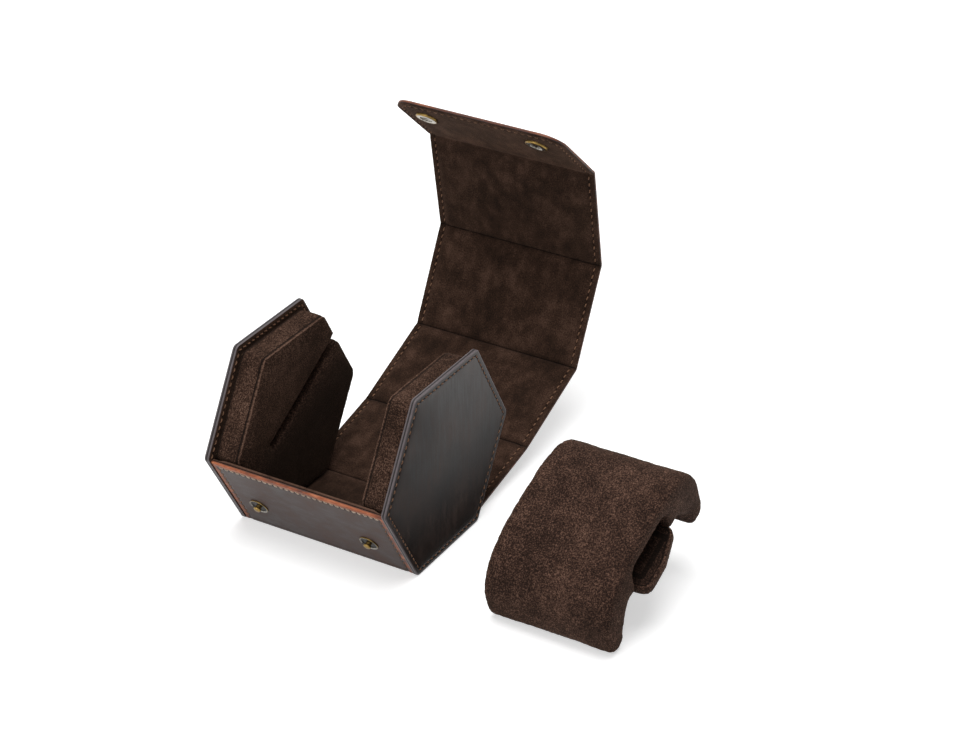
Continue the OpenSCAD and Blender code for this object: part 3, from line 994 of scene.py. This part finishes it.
def make_block(side, word):
    """The suede cover of a side block, with its slanting groove."""
    inset = BLOCK_INSET + NAP
    outline = hexagon_ring(inset, BLOCK_RADIUS + inset)
    name = f"side_block_cover_{word}_padding"
    block = prism(name, outline, BLOCK_FACE + NAP, PANEL_INSIDE - 0.02)
    c, s = cos(GROOVE_TILT), sin(GROOVE_TILT)
    corners = []
    for a, b in ((GROOVE_END, -1), (60, -1), (60, 1), (GROOVE_END, 1)):
        b = GROOVE_OFFSET + b * (GROOVE_WIDTH / 2 + 0.15)
        corners.append((a * c - b * s, HEX_APOTHEM + a * s + b * c))
    cut(block, prism("groove_tool", corners, BLOCK_FACE - 5, BLOCK_FACE + GROOVE_DEPTH))
    points, normals = remeshed(block, 0.5, 6)
    moved, seam, shade = [], [], []
    for p, n in zip(points, normals):
        facing = smooth((-n[0] - 0.3) / 0.5)
        lift = block_swell(p[0], p[1], p[2], facing) + ripples(p, BLOCK_RIPPLES)
        moved.append(p + n * lift if p[0] < PANEL_INSIDE - GLUED else p)
        # The seam distance sets a painted highlight on the seam's ridge and painted shade beside it; the shade is
        # painted shade in the groove, beside the end panel and low on the face.
        along, over = groove_coordinates(p[1], p[2])
        deep = abs(over) < GROOVE_WIDTH / 2 + 0.3 and along > GROOVE_END and p[0] > BLOCK_FACE + 1.0
        e = p[0] - BLOCK_FACE - NAP
        d = max(hexagon_depth(p[1], p[2]) - BLOCK_INSET - NAP, 0)
        seam.append(hypot(e, d) - 0.25 if e > d else NO_SEAM if deep else -d)
        shade_beside_panel = 0.95 * smooth((p[0] - PANEL_INSIDE + 2.2) / 1.4)
        low_shade = 0.92 * smooth((DARK_BELOW - p[2] + DARK_SLOPE * p[1]) / DARK_FADE) * facing
        shade.append(max(0.6 if deep else 0.0, shade_beside_panel, low_shade))
    if side < 0:
        block.data.flip_normals()
    cover(block, BLOCK_SUEDE, np.array(moved) * (side, 1, 1), shade, seam)
    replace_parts(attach(block, "case"), f"side_block_cover_{word}")


# ---- Press studs ----

STUD_PLACES = [(STUD_SHIFT - STUD_PITCH / 2, "left"), (STUD_SHIFT + STUD_PITCH / 2, "right")]
LATHE_STEPS = 40


def lathe(name, profile, place, out, body, replaced, steel=0.0):
    """A turned piece of brass, and of steel within that radius. The profile is (radius, height,
    shade) from the axis round to the axis again."""
    up = out.normalized()
    across_x = Vector((1, 0, 0))
    other = up.cross(across_x)
    points, flat, edge, shade = [], [], [], []
    for k in range(LATHE_STEPS):
        a = 2 * pi * k / LATHE_STEPS
        ray = across_x * cos(a) + other * sin(a)
        for radius, height, dark in profile:
            points.append(place + ray * radius + up * height)
            flat.append((radius * cos(a), radius * sin(a), height))
            edge.append(1.0 if radius < steel else 0.0)
            shade.append(dark)
    count = len(profile)
    faces = []
    for k in range(LATHE_STEPS):
        first, second = k * count, (k + 1) % LATHE_STEPS * count
        for i in range(count):
            j = (i + 1) % count
            faces.append([first + i, second + i, second + j, first + j])
    piece = build(name, points, faces, BRASS, flat, edge, shade, sharp=60)
    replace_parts(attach(piece, body), replaced)


def arc_profile(centre_r, centre_h, radius, start, end, steps, dark):
    """Points of an arc in a turned profile, with angles in degrees from outwards."""
    angles = [radians(a) for a in spread(start, end, steps)]
    return [(centre_r + radius * cos(a), centre_h + radius * sin(a), dark) for a in angles]


def make_studs():
    """The two studs on the front wall: a raised ring with a dark dish, and a knob on a neck."""
    out = Vector((0, -sin(radians(60)), -cos(radians(60))))
    flange = [(0.7, -0.3, 0.4), (3.9, -0.3, 0.4), (3.98, 0.1, 0.35)]
    flange += arc_profile(3.72, 0.25, 0.27, -10, 180, 9, 0.22)
    flange += [(3.2, 0.10, 0.6), (2.2, 0.02, 0.7), (1.5, 0.12, 0.55), (0.7, 0.12, 0.7)]
    post = [(0.02, -0.5, 0.3), (1.15, -0.5, 0.3), (1.12, 0.5, 0.2), (1.1, 1.1, 0.05)]
    post += arc_profile(0.95, 1.58, 0.56, -60, 80, 8, -0.25)
    post += [(0.6, 2.24, -0.25), (0.02, 2.28, -0.2)]
    for x, word in STUD_PLACES:
        place = wrap_point(x, STUD_DROP - WALL_RUN, -LEATHER_HALF)
        lathe(f"stud_flange_{word}", flange, place, out, "case", "stud_flanges", 3.8)
        lathe(f"stud_post_{word}", post, place, out, "case", "stud_posts")


def make_snaps():
    """The two snaps on the flap: a domed cap with a rim outside, a socket with its spring inside."""
    _, up = wrap_directions(FLAP_SLOPE)
    s = CREASE_S[4] + STUD_ON_FLAP
    cap = [(0.02, -0.1, 0.0), (5.0, -0.1, 0.2), (5.2, 0.05, 0.1)]
    cap += arc_profile(4.8, 0.2, 0.4, -20, 80, 6, 0.0)
    cap += [(4.5, 0.56, 0.2), (4.3, 0.48, 0.5), (4.1, 0.56, 0.4), (3.9, 0.70, 0.1)]
    cap += [(2.6, 0.84, 0.18), (1.3, 0.91, 0.2), (0.02, 0.93, 0.2)]
    ring = [(2.45, -0.5, 0.3), (4.6, -0.3, 0.3), (4.62, 0.12, 0.1)]
    ring += arc_profile(4.1, 0.5, 0.5, -10, 120, 7, -0.15)
    ring += [(3.4, 1.12, -0.1), (2.95, 1.17, -0.15), (2.6, 1.05, 0.0), (2.45, 0.8, 0.3)]
    spring = [(1.8, 0.1, 0.2), (2.5, 0.1, 0.2), (2.5, 0.62, 0.1), (2.15, 0.55, -0.1), (1.8, 0.35, 0.1)]
    for x, word in STUD_PLACES:
        lathe(f"snap_cap_{word}", cap, wrap_point(x, s, -LEATHER_HALF), -up, "flap", "snap_caps")
        inside = wrap_point(x, s, UNBOARDED_H)
        lathe(f"snap_socket_{word}", ring, inside, up, "flap", "snap_sockets", 4.0)
        lathe(f"snap_spring_{word}", spring, inside, up, "flap", "socket_springs", 4.0)


# ---- Cushion ----

PAD_NODE = frame["nodes"]["cushion_pad"]
PAD_LOW, PAD_HIGH = node_box("cushion_pad")
PAD_MIDDLE_X = (PAD_LOW.x + PAD_HIGH.x) / 2
PAD_HALF = (PAD_HIGH.x - PAD_LOW.x) / 2
# The cloth is simulated at this many times its size, and is pinned within SEWN of its seams.
SIM_SCALE = 10
SIM_FRAMES = 16
SWELL_LIMIT = 0.9
SEWN = 1.6
# The pad's own middle and tilt, and the hollow of its arch from that middle.
PAD_ORIGIN = Vector((PAD_MIDDLE_X, 1.0, 21.64))
PAD_PITCH = radians(22.5)
HOLLOW_MIDDLE = -0.8
HOLLOW_HALF = 14.0
HOLLOW_TOP = 15.5


def welded(piece):
    """The piece's mesh for editing, with its doubled points merged."""
    mesh = bmesh.new()
    mesh.from_mesh(piece.data)
    bmesh.ops.remove_doubles(mesh, verts=mesh.verts, dist=1e-6)
    return mesh


def seam_tree(node, plane_distance):
    """A tree of points along the sharp edges of a CAD node where plane_distance is about 0."""
    mesh = welded(node)
    points = []
    for edge in mesh.edges:
        a, b = (v.co / MM for v in edge.verts)
        if min(plane_distance(a), plane_distance(b)) < -0.05 or len(edge.link_faces) != 2:
            continue
        if edge.calc_face_angle() < radians(50):
            continue
        count = ceil((b - a).length / 0.4)
        points += [a + (b - a) * (k / count) for k in range(count + 1)]
    mesh.free()
    tree = kdtree.KDTree(len(points))
    for k, p in enumerate(points):
        tree.insert(p, k)
    tree.balance()
    return tree


def from_side(p):
    """Height over the nearer side face of the cushion: 0 on it, negative further in."""
    return abs(p[0] - PAD_MIDDLE_X) - PAD_HALF


def from_hollow(p):
    """Distance from the outline of the hollow in the cushion's side: 0 on it and inside it."""
    y, z = p[1] - PAD_ORIGIN.y, p[2] - PAD_ORIGIN.z
    a = y * cos(PAD_PITCH) + z * sin(PAD_PITCH)
    b = z * cos(PAD_PITCH) - y * sin(PAD_PITCH)
    return hypot(max(abs(a - HOLLOW_MIDDLE) - HOLLOW_HALF, 0), max(b - HOLLOW_TOP, 0))


def soften(piece, passes, weight):
    """Smooths the piece where the weight of its points is high."""
    points, _ = vertex_arrays(piece)
    group = piece.vertex_groups.new(name="softened")
    for k, p in enumerate(points):
        group.add([k], weight(p), "REPLACE")
    modified(piece, "SMOOTH", factor=0.5, iterations=passes, vertex_group="softened")
    piece.vertex_groups.clear()


def swell(piece, seam_distance, limit):
    """Lets the piece's cover swell by a cloth simulation, less and less towards its seams, and
    by no more than the limit."""
    rest, _ = vertex_arrays(piece)
    middle = rest.mean(0)
    move_points(piece, (rest - middle) * SIM_SCALE)
    group = piece.vertex_groups.new(name="pins")
    group.add([int(k) for k in np.flatnonzero(seam_distance < SEWN)], 1.0, "REPLACE")
    cloth = piece.modifiers.new("cloth", "CLOTH")
    assign(cloth.settings, quality=4, mass=0.3, tension_stiffness=12, compression_stiffness=12,
           bending_stiffness=0.6, use_pressure=True, uniform_pressure_force=5, vertex_group_mass="pins")
    cloth.settings.effector_weights.gravity = 0
    assign(cloth.point_cache, frame_start=1, frame_end=SIM_FRAMES)
    scene = bpy.context.scene
    for step in range(1, SIM_FRAMES + 1):
        scene.frame_set(step)
    shown = piece.evaluated_get(bpy.context.evaluated_depsgraph_get())
    swollen = np.array([v.co for v in shown.data.vertices]) / MM / SIM_SCALE + middle
    piece.modifiers.clear()
    piece.vertex_groups.clear()
    scene.frame_set(1)
    shift = swollen - rest
    length = np.linalg.norm(shift, axis=1)
    keep = np.minimum(1, limit / np.maximum(length, 1e-9)) * np.array([smooth(d / 4) for d in seam_distance])
    move_points(piece, rest + shift * keep[:, None])


def make_cushion():
    """The arched pad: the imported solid, remeshed, swollen, sewn along its side faces."""
    seams = seam_tree(PAD_NODE, from_side)
    pad = placed("cushion_pad_cover", PAD_NODE.data.copy())
    remeshed(pad, 1.0, 5)
    soften(pad, 26, lambda p: smooth((from_hollow(p) - 0.5) / 3.5))
    points, _ = vertex_arrays(pad)
    swell(pad, np.array([seams.find(p)[2] for p in points]), SWELL_LIMIT)
    modified(pad, "SUBSURF", levels=1, render_levels=1)
    points, normals = vertex_arrays(pad)
    moved = [p + n * ripples(p, PAD_RIPPLES) for p, n in zip(points, normals)]
    cover(pad, CUSHION_SUEDE, moved, None, None)
    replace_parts(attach(pad, "cushion"), "cushion_pad")


def make_tongue():
    """The suede tongue through the cushion, whose ends stand out as tabs."""
    node = frame["nodes"]["cushion_tongue"]
    rims = seam_tree(node, lambda p: 0.0)
    tongue = placed("cushion_tongue_cover", node.data.copy())
    shell = welded(tongue)
    low, high = node_box("cushion_tongue_board")
    inner = [v for v in shell.verts
             if all(low[k] - 0.05 <= v.co[k] / MM <= high[k] + 0.05 for k in range(3))]
    bmesh.ops.delete(shell, geom=inner, context="VERTS")
    shell.to_mesh(tongue.data)
    shell.free()
    points, normals = remeshed(tongue, 0.6, 5)
    moved, seam, shade = [], [], []
    for p, n in zip(points, normals):
        moved.append(p + n * ripples(p, TONGUE_RIPPLES))
        # Upward faces get a painted highlight along their rim, a line of painted shade beside it, and painted
        # shade further in.
        upward = n[2] > 0.8
        rim = rims.find(p)[2]
        seam.append(rim - 0.5 if upward else NO_SEAM)
        shade.append(0.75 * smooth((rim - 1.0) / 1.5) if upward else 0.0)
    cover(tongue, CUSHION_SUEDE, moved, shade, seam)
    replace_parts(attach(tongue, "cushion"), "cushion_tongue")


# ---- Stage ----

WHITE = (1, 1, 1, 1)


def make_camera():
    """A long lens above the front right corner, fitted to the corners of the open case."""
    data = bpy.data.cameras.new("camera")
    assign(data, lens=100.95, sensor_width=36, clip_start=0.05, clip_end=20)
    camera = placed("camera", data)
    camera.location = (0.4829, -0.7269, 0.5702)
    camera.rotation_euler = (radians(90 - 30.14), 0, radians(30.55))
    bpy.context.scene.camera = camera


CASE_MIDDLE = (0.02, 0.02, 0.03)
LID_FOOT = (0.02, 0.05, 0.05)


def area_lamp(name, place, target, size, power):
    lamp = placed(name, assign(bpy.data.lights.new(name, "AREA"), shape="DISK", size=size, energy=power))
    lamp.location = place
    lamp.rotation_euler = (Vector(target) - Vector(place)).to_track_quat("-Z", "Y").to_euler()


def seen_directly(tree):
    """1 for what the camera sees directly, in a reflection or through glass."""
    rays = add(tree, "LightPath").outputs
    either = math_node(tree, "MAXIMUM", rays["Is Camera Ray"], rays["Is Glossy Ray"])
    return math_node(tree, "MAXIMUM", either, rays["Is Transmission Ray"])


def stage_plane(name, low, high, level, **sockets):
    """A flat rectangle between two corners at that level, its material, and its own coordinates."""
    corners = [(low[0], low[1]), (high[0], low[1]), (high[0], high[1]), (low[0], high[1])]
    mesh = bpy.data.meshes.new(name)
    mesh.from_pydata([(x, y, level) for x, y in corners], [], [[0, 1, 2, 3]])
    material, tree, shader = new_material(name, Specular_IOR_Level=0.0, Emission_Color=WHITE, **sockets)
    mesh.materials.append(material)
    return placed(name, mesh), tree, shader, add(tree, "TexCoord").outputs["Object"]


def make_floor():
    """A pale floor, which glows where it is seen directly, and more so further out."""
    floor, tree, shader, place = stage_plane("floor", (-4, -4), (4, 4), -0.00005,
                                             Base_Color=(0.82, 0.82, 0.82, 1), Roughness=0.9)
    away = add(tree, "VectorMath", {0: place}, operation="LENGTH").outputs["Value"]
    glow = math_node(tree, "MULTIPLY", seen_directly(tree), span(tree, away, 0.25, 1.2, 0.52, 1.0))
    drive(tree, shader, Emission_Strength=glow)


def make_flag():
    """A card beside the right end panel that glows only in reflections, as a painted reflection that is dark near
    the case.
    """
    flag, tree, shader, place = stage_plane("flag", (0.041, -0.15), (0.30, 0.35), 0.0002,
                                            Base_Color=(0, 0, 0, 1), Roughness=1.0)
    along = add(tree, "SeparateXYZ", {0: place}).outputs
    glow = math_node(tree, "MULTIPLY", span(tree, along["X"], 0.050, 0.108, 0.03, 1.6),
                     span(tree, along["Y"], -0.01, 0.055, 0.4, 1.1))
    drive(tree, shader, Emission_Strength=glow)
    assign(flag, visible_camera=False, visible_diffuse=False, visible_shadow=False,
           visible_transmission=False)


def make_world():
    """A dim even light all round, which looks white where it is seen directly."""
    world = bpy.data.worlds.new("studio")
    world.use_nodes = True
    tree = world.node_tree
    background = tree.nodes["Background"]
    background.inputs["Color"].default_value = WHITE
    put(tree, background.inputs["Strength"], span(tree, seen_directly(tree), 0, 1, 0.22, 1.0))
    bpy.context.scene.world = world


def finish_inner_nodes():
    """Materials for the inner CAD pieces that no piece stands for."""
    finishes = {"stiffening_board": BOARD, "block_core": CORE, "antique_brass": BRASS, "spring_wire": SPRING}
    for part in frame["record"]["subparts"]:
        if part["material_slot"] in finishes:
            mesh = frame["nodes"][part["node"]].data
            mesh.materials.clear()
            mesh.materials.append(finishes[part["material_slot"]])


make_camera()
make_world()
make_floor()
make_flag()
area_lamp("key", (0.04, -0.10, 1.15), CASE_MIDDLE, size=1.0, power=10.8)
area_lamp("fill", (-0.1, -1.1, 0.8), CASE_MIDDLE, size=0.8, power=4.1)
area_lamp("back", (0.1, 1.1, 0.8), LID_FOOT, size=0.8, power=2.5)

finish_inner_nodes()
make_panels()
make_creases()
make_flap()
make_wrap_stitches()
make_flap_stitches()
for side, word in ((-1, "left"), (1, "right")):
    make_end_panel(side, word)
    make_block(side, word)
make_studs()
make_snaps()
make_cushion()
make_tongue()

bpy.context.scene.view_settings.view_transform = "Standard"
